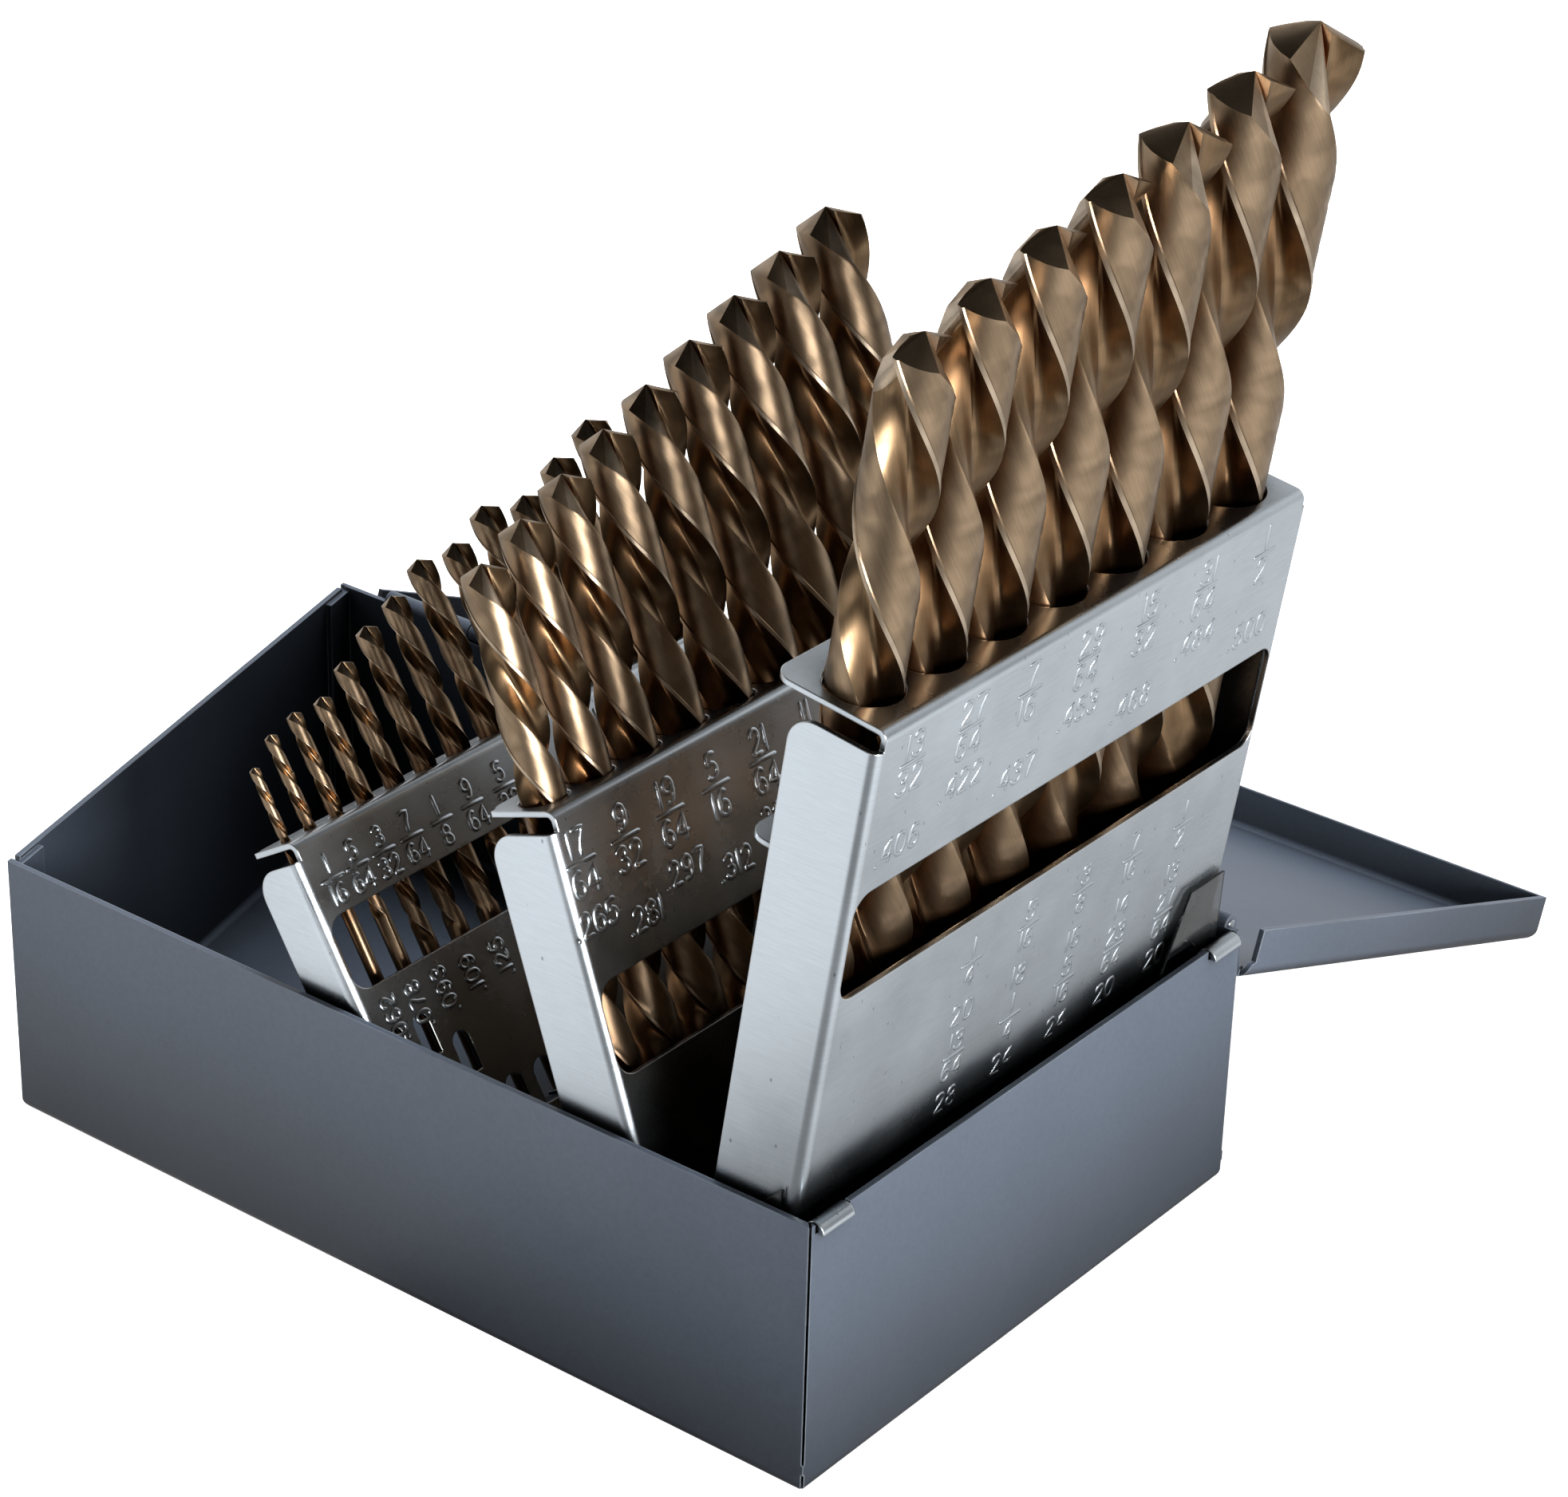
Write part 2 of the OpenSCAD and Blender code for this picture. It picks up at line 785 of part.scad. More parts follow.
// Fluted length of a drill: rings of a two-fluted section that turn as they climb
module fluted(n, shares) {
    r = drill_d(n) / 2;
    tip = r / tan(point_angle / 2);
    tall = flute_l(n) - tip;
    base = drill_l(n) - flute_l(n);
    sides = 2 * len(shares);
    lead = turn_ratio * drill_d(n);
    steps = ceil(tall * sides / lead);
    turn0 = start_turn + next_turn * n;
    function height(k) = k * tall / steps;
    function grown(k) = min(1, height(k) / (runout_share * drill_d(n)));
    function share(k, j) =
        shares[j % len(shares)] * grown(k) + shank_share * (1 - grown(k));
    function angle(k, j) = turn0 + 360 * j / sides - 360 * (height(k) - tall) / lead;
    function at(k, j, z) =
        [r * share(k, j) * cos(angle(k, j)), r * share(k, j) * sin(angle(k, j)), z];
    points = [
        for (j = [0 : sides - 1]) at(0, j, base - r / 2),
        for (k = [1 : steps], j = [0 : sides - 1]) at(k, j, base + height(k)),
        [0, 0, drill_l(n)]
    ];
    faces = [
        for (j = [1 : sides - 2]) [0, j, j + 1],
        for (k = [0 : steps - 1], j = [0 : sides - 1])
            let (a = k * sides + j, b = k * sides + (j + 1) % sides)
                [a, a + sides, b + sides],
        for (k = [0 : steps - 1], j = [0 : sides - 1])
            let (a = k * sides + j, b = k * sides + (j + 1) % sides)
                [a, b + sides, b],
        for (j = [0 : sides - 1])
            [steps * sides + j, (steps + 1) * sides, steps * sides + (j + 1) % sides]
    ];
    polyhedron(points = points, faces = faces);
}

// A drill standing at its place in a stand: plain shank below, flutes above
module drill(n, x, first, last, edge, shares) {
    color(bronze)
        translate([x, drill_y(first, last, edge, n), floor_top + rise(n)]) {
            cylinder(h = drill_l(n) - flute_l(n), d = drill_d(n));
            fluted(n, shares);
        }
}

module large_drill(n) {
    place_large()
        drill(n, large_hole, large_first, large_last, edge_w, large_section_shares);
}

module medium_drill(n) {
    place_medium()
        drill(n, medium_hole, medium_first, medium_last, edge_w, medium_section_shares);
}

module small_drill(n) {
    place_small()
        drill(n, small_hole, small_first, small_last, small_edge_w, small_section_shares);
}

case_body();
step_bracket();
lid();
lid_hinge_pin();
stand_large();
stand_medium();
stand_small();
place_large() hinge_pin();  // hinge_pin_large
place_medium() hinge_pin();  // hinge_pin_medium
place_small() hinge_pin();  // hinge_pin_small
clear_slip_front();
clear_slip_rear();
small_drill(4);  // drill_1_16
small_drill(5);  // drill_5_64
small_drill(6);  // drill_3_32
small_drill(7);  // drill_7_64
small_drill(8);  // drill_1_8
small_drill(9);  // drill_9_64
small_drill(10);  // drill_5_32
small_drill(11);  // drill_11_64
small_drill(12);  // drill_3_16
small_drill(13);  // drill_13_64
small_drill(14);  // drill_7_32
small_drill(15);  // drill_15_64
small_drill(16);  // drill_1_4
medium_drill(17);  // drill_17_64
medium_drill(18);  // drill_9_32
medium_drill(19);  // drill_19_64
medium_drill(20);  // drill_5_16
medium_drill(21);  // drill_21_64
medium_drill(22);  // drill_11_32
medium_drill(23);  // drill_23_64
medium_drill(24);  // drill_3_8
medium_drill(25);  // drill_25_64
large_drill(26);  // drill_13_32
large_drill(27);  // drill_27_64
large_drill(28);  // drill_7_16
large_drill(29);  // drill_29_64
large_drill(30);  // drill_15_32
large_drill(31);  // drill_31_64
large_drill(32);  // drill_1_2
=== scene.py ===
import json
import math

import bpy
from bpy.props import FloatProperty, FloatVectorProperty, PointerProperty
from mathutils import Matrix, Vector


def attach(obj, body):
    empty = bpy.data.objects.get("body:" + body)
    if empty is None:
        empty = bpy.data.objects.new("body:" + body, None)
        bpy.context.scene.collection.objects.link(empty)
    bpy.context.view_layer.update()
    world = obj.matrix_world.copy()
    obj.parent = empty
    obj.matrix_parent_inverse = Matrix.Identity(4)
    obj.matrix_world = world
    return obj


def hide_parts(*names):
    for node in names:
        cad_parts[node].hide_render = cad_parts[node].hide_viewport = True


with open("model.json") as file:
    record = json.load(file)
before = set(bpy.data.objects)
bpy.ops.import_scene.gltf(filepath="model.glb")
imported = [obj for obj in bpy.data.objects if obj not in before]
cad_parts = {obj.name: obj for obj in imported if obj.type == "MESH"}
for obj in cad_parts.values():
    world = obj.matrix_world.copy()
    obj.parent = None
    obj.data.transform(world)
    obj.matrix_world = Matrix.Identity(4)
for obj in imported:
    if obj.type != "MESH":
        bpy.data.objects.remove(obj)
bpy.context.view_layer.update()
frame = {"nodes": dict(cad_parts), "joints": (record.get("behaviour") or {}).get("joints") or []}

bl_info = {
    "name": "Drill bit case",
    "version": (1, 0, 0),
    "blender": (4, 5, 0),
    "location": "View3D > Sidebar > Drill Case",
    "description": "Finishes, twist drills and stamped numbers of a drill bit case",
    "category": "Object",
}

MM = 0.001
INCH = 25.4

PAINT = (0.072, 0.090, 0.122, 1)
ZINC = (0.70, 0.77, 0.83, 1)
BRONZE = (0.355, 0.257, 0.166, 1)
WHITE = (1, 1, 1, 1)

# Each stand: its joint, lean past upright in degrees, panel face, first and last size
# in 64ths of an inch
STANDS = {
    "large": ("fold_large", 8.2, 10.7, 26, 32),
    "medium": ("fold_medium", -19.2, 11.6, 17, 25),
    "small": ("fold_small", -31.5, 9.0, 4, 16),
}
# Flute lengths from 4/64 on, in 16ths of an inch
FLUTES = [14, 16, 20, 24, 26, 28, 32, 34, 37, 39, 40, 42, 44, 46, 47, 49, 51, 53,
          55, 56, 58, 60, 62, 63, 65, 67, 69, 70, 72]
# A flute's lead in diameters, and half of the point's angle
LEAD = 5.44
POINT = math.radians(135) / 2
# Turns of the drills in their holes in degrees, as the photo shows them: most have their
# lips across the view
TURN = 20
TURNS = {16: 14, 18: 27, 19: 30, 21: 12, 24: 26, 26: 83, 27: 83, 28: 77, 29: 75, 30: 39,
         31: 55, 32: 20}

# Half of a drill's section: share of the half turn, share of the radius. It starts with
# the margin, then the land, the heel and the flute up to the next margin.
SECTION = [(0, 1), (.02, 1), (.04, 1), (.052, .965), (.12, .965), (.2, .965),
           (.28, .965), (.36, .965), (.44, .965), (.5, .965), (.53, .945), (.55, .86),
           (.58, .74), (.62, .60), (.665, .48), (.72, .39), (.77, .355), (.80, .345),
           (.86, .36), (.90, .385), (.935, .45), (.955, .55), (.97, .67), (.984, .80),
           (.994, .92)]
# Sides of the half section up to the margin's end and up to the heel
MARGIN_SIDES, LAND_SIDES = 2, 10
# Codes of the surface's regions, which the material reads
MARGIN, LAND, FLUTE, FLANK, NOTCH, SHANK = 2, 1, 0, 3, 4, 5
# The split point: where its flank and its notch end behind a lip, and their slopes
FLANK_END = math.radians(68)
NOTCH_END = math.radians(145)
RELIEF = math.tan(math.radians(10))
NOTCH_SLOPE = 2.7
# The shank's foot in radii, and how the flutes run out into the shank
FOOT_REACH, FOOT_CHAMFER = 0.86, 0.12
RUN_OUT, RUN_OUT_BEND = 2.6, 0.6
# How much shorter the streaks' pattern is along a drill than across it
STREAK = 0.04
SMOOTH_DRILL, SMOOTH_STROKE = 34, 60

# Digits as strokes in a box 0.6 wide and 1 high, and the sizes of the text
DIGIT_WIDTH, THIN_WIDTH, DIGIT_GAP = 0.6, 0.14, 0.22
DIGITS = {
    "0": [[(.3, 1), (.12, .93), (.02, .7), (.02, .3), (.12, .07), (.3, 0), (.48, .07),
           (.58, .3), (.58, .7), (.48, .93), (.3, 1)]],
    "1": [[(.3, 1), (.3, 0)]],
    "2": [[(.04, .76), (.1, .93), (.28, 1), (.46, .95), (.55, .8), (.53, .62), (.4, .42),
           (.18, .2), (.03, 0), (.58, 0)]],
    "3": [[(.05, .86), (.16, .97), (.34, 1), (.5, .93), (.55, .77), (.48, .6), (.28, .53)],
          [(.28, .53), (.5, .46), (.58, .28), (.5, .08), (.3, 0), (.12, .04), (.02, .16)]],
    "4": [[(.46, 0), (.46, 1), (.02, .3), (.6, .3)]],
    "5": [[(.54, 1), (.1, 1), (.06, .56), (.28, .64), (.48, .57), (.58, .36), (.52, .12),
           (.3, 0), (.12, .03), (.02, .14)]],
    "6": [[(.5, .95), (.3, 1), (.12, .85), (.03, .5), (.05, .2), (.17, .03), (.34, 0),
           (.52, .1), (.58, .3), (.5, .5), (.34, .58), (.16, .52), (.05, .34)]],
    "7": [[(.02, 1), (.58, 1), (.36, .5), (.24, 0)]],
    "8": [[(.3, .54), (.12, .62), (.06, .78), (.14, .94), (.3, 1), (.46, .94), (.54, .78),
           (.48, .62), (.3, .54), (.1, .44), (.02, .25), (.1, .06), (.3, 0), (.5, .06),
           (.58, .25), (.5, .44), (.3, .54)]],
    "9": [[(.1, .05), (.3, 0), (.48, .15), (.57, .5), (.55, .8), (.43, .97), (.26, 1),
           (.08, .9), (.02, .7), (.1, .5), (.26, .42), (.44, .48), (.55, .66)]],
    ".": [[(.28, .02), (.32, .02)]],
}
# A stroke's section: places across it and heights, both as shares. Its ends are narrower
# rings a little further on.
STROKE = [(-1, 0), (-0.75, 0.66), (-0.3, 0.95), (0.3, 0.95), (0.75, 0.66), (1, 0)]
END_REACH, END_SHARE, END_HEIGHT = 0.8, 0.4, 0.4
SINK = 0.03

# The table stamped on the large panel: its columns' places, its rows' heights, its cells
TABLE_PLACES = (-16.9, -3.9, 9.0, 20.9, 33.5)
TABLE_HEIGHTS = (36.8, 28.5, 21.4, 13.8)
TABLE_CELLS = [("1/4", "20", "13/64", "28"), ("5/16", "18", "1/4", "24"),
               ("3/8", "16", "5/16", "24"), ("7/16", "14", "23/64", "20"),
               ("1/2", "13", "27/64", "20")]

# The stage in millimetres. Lamps: place, width, height, watts.
FLOOR_REACH, FLOOR_GAP = 6000, 0.05
LAMPS = (("key", (1050, -330, 330), 500, 300, 20),
         ("front", (120, -1100, 280), 700, 260, 0.9),
         ("top", (-200, 500, 1200), 500, 500, 24))
LAMP_TARGET = (0, 0, 60)
ROOM_SIDES = 72
ROOM_PROFILE = ((1600, -30), (1300, 1500))
GREY_TABLE_REACH, GREY_TABLE_GAP = 1550, 0.02
CAMERA_SIDE = (0.61, -0.79, 0)
# The photo's camera: azimuth, elevation and roll in degrees, target and distance
CAMERA_TURNS = (37.39, 27.6, 1.62)
CAMERA_TARGET, CAMERA_DISTANCE = (-0.81, 57.91, 39.23), 707.97
CAMERA_LENS, CAMERA_SENSOR = 103.1, 36


def stand_matrix(stand):
    """Places a mesh that is drawn in a stand's own frame, with the hinge at its origin."""
    joint = next(j for j in frame["joints"] if j["name"] == STANDS[stand][0])
    turn = Matrix.Rotation(math.radians(STANDS[stand][1]), 4, "Y")
    return Matrix.Translation(joint["pos_m"]) @ turn


def size_name(n):
    """The name of a size in 64ths of an inch, such as 13_32."""
    top, bottom = n, 64
    while top % 2 == 0:
        top, bottom = top // 2, bottom // 2
    return f"{top}_{bottom}"


def new_object(name, points, faces, matrix=None, smooth=None):
    """A mesh object from points in millimetres, with edges sharper than smooth marked."""
    mesh = bpy.data.meshes.new(name)
    mesh.from_pydata([(x * MM, y * MM, z * MM) for x, y, z in points], [], faces)
    if smooth is not None:
        mesh.polygons.foreach_set("use_smooth", [True] * len(mesh.polygons))
        mesh.set_sharp_from_angle(angle=math.radians(smooth))
    mesh.update()
    thing = bpy.data.objects.new(name, mesh)
    bpy.context.scene.collection.objects.link(thing)
    if matrix is not None:
        thing.matrix_world = matrix
    return thing


# Shader building

def shader_group(name, inputs, outputs):
    """An empty node group with its sockets; returns the tree, its input and its output."""
    tree = bpy.data.node_groups.new(name, "ShaderNodeTree")
    for label, kind, value in inputs:
        socket = tree.interface.new_socket(label, in_out="INPUT",
                                           socket_type="NodeSocket" + kind)
        socket.default_value = value
    for label, kind in outputs:
        tree.interface.new_socket(label, in_out="OUTPUT", socket_type="NodeSocket" + kind)
    return tree, tree.nodes.new("NodeGroupInput"), tree.nodes.new("NodeGroupOutput")


def add(tree, kind, sockets=None, **settings):
    """One shader node with its settings and with values or links for its sockets."""
    node = tree.nodes.new("ShaderNode" + kind)
    for key, value in settings.items():
        setattr(node, key, value)
    for key, value in (sockets or {}).items():
        if isinstance(value, bpy.types.NodeSocket):
            tree.links.new(value, node.inputs[key])
        else:
            node.inputs[key].default_value = value
    return node


def maths(tree, operation, first, second=0.0, clamp=False):
    """The result socket of one Math node."""
    return add(tree, "Math", {0: first, 1: second}, operation=operation,
               use_clamp=clamp).outputs[0]


def mix_color(tree, factor, first, second, blend="MIX"):
    """The result socket of one colour Mix node."""
    node = add(tree, "Mix", {0: factor, 6: first, 7: second}, data_type="RGBA",
               blend_type=blend)
    return node.outputs[2]


def mix_value(tree, factor, first, second):
    """The result socket of one value Mix node."""
    return add(tree, "Mix", {0: factor, 2: first, 3: second}).outputs[0]


def ramp(tree, value, low, high, to_low=0.0, to_high=1.0):
    """The result socket of one Map Range node."""
    return add(tree, "MapRange", {"Value": value, "From Min": low, "From Max": high,
                                  "To Min": to_low, "To Max": to_high}).outputs[0]


def object_coords(tree):
    """The socket of the object coordinates, in metres."""
    return add(tree, "TexCoord").outputs["Object"]


def sheet_surface():
    """Rounded edges and a fine wavy surface for folded sheet: a normal and an edge mask."""
    tree, inside, outside = shader_group(
        "Sheet surface",
        [("Edge radius", "Float", 0.0003), ("Wave size", "Float", 900.0),
         ("Wave depth", "Float", 0.00001), ("Dents", "Float", 0.0)],
        [("Normal", "Vector"), ("Edge", "Float")])
    where = object_coords(tree)
    bevel = add(tree, "Bevel", {"Radius": inside.outputs["Edge radius"]}, samples=6)
    flat = add(tree, "NewGeometry").outputs["Normal"]
    dot = add(tree, "VectorMath", {0: bevel.outputs[0], 1: flat}, operation="DOT_PRODUCT")
    edge = ramp(tree, dot.outputs["Value"], 0.995, 0.85)
    wave = add(tree, "TexNoise", {"Vector": where, "Scale": inside.outputs["Wave size"],
                                  "Detail": 1.5})
    dents = add(tree, "TexNoise", {"Vector": where, "Scale": 60.0, "Detail": 0.0})
    height = maths(tree, "ADD", wave.outputs[0],
                   maths(tree, "MULTIPLY", dents.outputs[0], inside.outputs["Dents"]))
    bump = add(tree, "Bump", {"Strength": 1.0, "Distance": inside.outputs["Wave depth"],
                              "Height": height, "Normal": bevel.outputs[0]})
    tree.links.new(bump.outputs[0], outside.inputs["Normal"])
    tree.links.new(edge, outside.inputs["Edge"])
    return tree


def paint_look():
    """Satin paint: clouded colour and roughness, a little edge wear, painted shade in corners.
    """
    tree, inside, outside = shader_group(
        "Paint look",
        [("Color", "Color", PAINT), ("Worn color", "Color", (0.22, 0.25, 0.29, 1)),
         ("Edge", "Float", 0.0), ("Roughness", "Float", 0.42),
         ("Shade reach", "Float", 0.06)],
        [("Color", "Color"), ("Roughness", "Float")])
    where = object_coords(tree)
    shade_ao = add(tree, "AmbientOcclusion", {"Distance": inside.outputs["Shade reach"]},
                 samples=6)
    cloud = add(tree, "TexNoise", {"Vector": where, "Scale": 35.0, "Detail": 4.0})
    grain = add(tree, "TexNoise", {"Vector": where, "Scale": 1400.0, "Detail": 2.0})
    shade = ramp(tree, cloud.outputs[0], 0.3, 0.7, 0.94, 1.05)
    speck = ramp(tree, grain.outputs[0], 0.35, 0.65, 0.95, 1.05)
    # Painted shade: the ambient occlusion darkens the paint in corners, recesses and near other
    # parts.
    both = maths(tree, "MULTIPLY", maths(tree, "MULTIPLY", shade, speck),
                 ramp(tree, shade_ao.outputs["AO"], 0.45, 0.9, 0.13, 1.0))
    toned = add(tree, "VectorMath", {0: inside.outputs["Color"], "Scale": both},
                operation="SCALE")
    wear = maths(tree, "MULTIPLY", inside.outputs["Edge"],
                 ramp(tree, cloud.outputs[0], 0.4, 0.62, 0.25, 0.9), clamp=True)
    color = mix_color(tree, wear, toned.outputs[0], inside.outputs["Worn color"])
    rough = maths(tree, "ADD", inside.outputs["Roughness"],
                  ramp(tree, cloud.outputs[0], 0.3, 0.7, -0.04, 0.05))
    tree.links.new(color, outside.inputs["Color"])
    tree.links.new(rough, outside.inputs["Roughness"])
    return tree


def zinc_look():
    """Bright zinc: soft clouds, a fine rolled grain, small dark specks, warm painted highlight
    on bends.
    """
    tree, inside, outside = shader_group(
        "Zinc look",
        [("Color", "Color", ZINC), ("Edge highlight color", "Color", (0.86, 0.87, 0.87, 1)),
         ("Speck color", "Color", (0.16, 0.19, 0.22, 1)), ("Edge", "Float", 0.0),
         ("Roughness", "Float", 0.27), ("Shade reach", "Float", 0.03)],
        [("Color", "Color"), ("Roughness", "Float")])
    where = object_coords(tree)
    shade_ao = add(tree, "AmbientOcclusion", {"Distance": inside.outputs["Shade reach"]},
                 samples=6)
    cloud = add(tree, "TexNoise", {"Vector": where, "Scale": 55.0, "Detail": 5.0,
                                   "Roughness": 0.6})
    long_way = add(tree, "Mapping", {"Vector": where, "Scale": (1.6, 3.4, 1.0),
                                     "Rotation": (0.5, 0.2, 0.0)})
    cells = add(tree, "TexVoronoi", {"Vector": long_way.outputs[0], "Scale": 330.0})
    spot = ramp(tree, cells.outputs["Distance"], 0.06, 0.14, 1.0, 0.0)
    pick = add(tree, "SeparateColor", {"Color": cells.outputs["Color"]})
    chosen = maths(tree, "GREATER_THAN", pick.outputs[0], 0.8)
    speck = maths(tree, "MULTIPLY", maths(tree, "MULTIPLY", spot, chosen), 0.7)
    grain = add(tree, "TexNoise", {"Vector": add(tree, "Mapping", {
        "Vector": where, "Scale": (1.0, 1.0, 14.0)}).outputs[0], "Scale": 260.0,
        "Detail": 3.0})
    shade = maths(tree, "MULTIPLY", ramp(tree, cloud.outputs[0], 0.3, 0.7, 0.93, 1.05),
                  ramp(tree, grain.outputs[0], 0.3, 0.7, 0.96, 1.03))
    # Painted shade: the ambient occlusion darkens the zinc in corners and near other parts.
    shade = maths(tree, "MULTIPLY", shade,
                  ramp(tree, shade_ao.outputs["AO"], 0.5, 0.965, 0.1, 1.0))
    toned = add(tree, "VectorMath", {0: inside.outputs["Color"], "Scale": shade},
                operation="SCALE")
    dotted = mix_color(tree, speck, toned.outputs[0], inside.outputs["Speck color"])
    # Painted highlight: the rounded edges get a lighter, warmer colour.
    color = mix_color(tree, inside.outputs["Edge"], dotted, inside.outputs["Edge highlight color"])
    rough = maths(tree, "ADD", inside.outputs["Roughness"],
                  ramp(tree, cloud.outputs[0], 0.3, 0.7, -0.05, 0.07))
    tree.links.new(color, outside.inputs["Color"])
    tree.links.new(rough, outside.inputs["Roughness"])
    return tree


def bronze_look():
    """Bronze oxide on ground steel: streaks along the flutes, bright margins and facets, painted
    shade.
    """
    tree, inside, outside = shader_group(
        "Bronze look",
        [("Color", "Color", BRONZE), ("Flute color", "Color", (0.30, 0.202, 0.115, 1)),
         ("Ground color", "Color", (0.60, 0.49, 0.37, 1)),
         ("Painted shade color", "Color", (0.44, 0.22, 0.07, 1)),
         ("Land roughness", "Float", 0.36), ("Flute roughness", "Float", 0.32),
         ("Shade reach", "Float", 0.010)],
        [("Color", "Color"), ("Roughness", "Float"), ("Height", "Float")])
    grain = add(tree, "Attribute", attribute_name="grain").outputs["Vector"]
    region = add(tree, "Attribute", attribute_name="region").outputs["Fac"]

    land, margin, flute, flank, notch = (
        add(tree, "Math", {0: region, 1: float(code), 2: 0.3},
            operation="COMPARE").outputs[0]
        for code in (LAND, MARGIN, FLUTE, FLANK, NOTCH))
    streak = add(tree, "TexNoise", {"Vector": grain, "Scale": 4.0, "Detail": 4.0,
                                    "Roughness": 0.65})
    fine = add(tree, "TexNoise", {"Vector": grain, "Scale": 16.0, "Detail": 2.0})
    ground = maths(tree, "ADD", margin, notch, clamp=True)
    base = mix_color(tree, flute, inside.outputs["Color"],
                     inside.outputs["Flute color"])
    base = mix_color(tree, maths(tree, "MULTIPLY", ground, 0.8), base,
                     inside.outputs["Ground color"])
    blotch = add(tree, "TexNoise", {"Vector": object_coords(tree), "Scale": 210.0,
                                    "Detail": 1.0, "Distortion": 0.6})
    shade = maths(tree, "MULTIPLY", ramp(tree, streak.outputs[0], 0.3, 0.7, 0.88, 1.1),
                  ramp(tree, blotch.outputs[0], 0.36, 0.62, 0.66, 1.05))
    # Painted shade: reddish brown darkening where the drills stand close to each other and to
    # the stands.
    shade_ao = add(tree, "AmbientOcclusion", {"Distance": inside.outputs["Shade reach"]},
                 samples=6)
    painted_shade_base = mix_color(tree, ramp(tree, shade_ao.outputs["AO"], 0.85, 0.2), base,
                     mix_color(tree, 1.0, base, inside.outputs["Painted shade color"], "MULTIPLY"))
    toned = add(tree, "VectorMath", {0: painted_shade_base, "Scale": shade}, operation="SCALE")
    rough = mix_value(tree, flute, inside.outputs["Land roughness"],
                      inside.outputs["Flute roughness"])
    rough = maths(tree, "ADD", rough,
                  ramp(tree, blotch.outputs[0], 0.36, 0.62, 0.05, -0.04))
    height = maths(tree, "MULTIPLY", fine.outputs[0],
                   maths(tree, "ADD", maths(tree, "ADD", land, flank), 0.35))
    tree.links.new(toned.outputs[0], outside.inputs["Color"])
    tree.links.new(rough, outside.inputs["Roughness"])
    tree.links.new(height, outside.inputs["Height"])
    return tree


def new_material(name):
    """A material with a Principled node and the output: the material, tree and shader."""
    material = bpy.data.materials.new(name)
    material.use_nodes = True
    shader = material.node_tree.nodes["Principled BSDF"]
    return material, material.node_tree, shader


def bare_material(thing, name):
    """Gives a piece of the stage a material with an empty tree; returns the tree."""
    material = bpy.data.materials.new(name)
    material.use_nodes = True
    material.node_tree.nodes.clear()
    thing.data.materials.append(material)
    return material.node_tree


def background_rays(tree):
    """1 for the rays that show the background itself, 0 for those that only light."""
    rays = add(tree, "LightPath")
    return maths(tree, "ADD", rays.outputs["Is Camera Ray"],
                 maths(tree, "ADD", rays.outputs["Is Glossy Ray"],
                       rays.outputs["Is Transmission Ray"]), clamp=True)


def use_group(tree, group, values=None):
    """A node that uses a shader group, with values or links for its inputs."""
    node = tree.nodes.new("ShaderNodeGroup")
    node.node_tree = group
    for key, value in (values or {}).items():
        if isinstance(value, bpy.types.NodeSocket):
            tree.links.new(value, node.inputs[key])
        else:
            node.inputs[key].default_value = value
    return node


def give(thing, material):
    """Puts one material on a piece."""
    thing.data.materials.clear()
    thing.data.materials.append(material)


# Pieces

def drop(angle):
    """How far the point's surface falls per radius at an angle from a cutting lip."""
    slope = 1 / math.tan(POINT)
    if angle <= FLANK_END:
        return slope + angle * RELIEF
    if angle <= NOTCH_END:
        edge = slope + FLANK_END * RELIEF
        turn = angle - FLANK_END
        return edge * math.cos(turn) + NOTCH_SLOPE * math.sin(turn)
    return slope


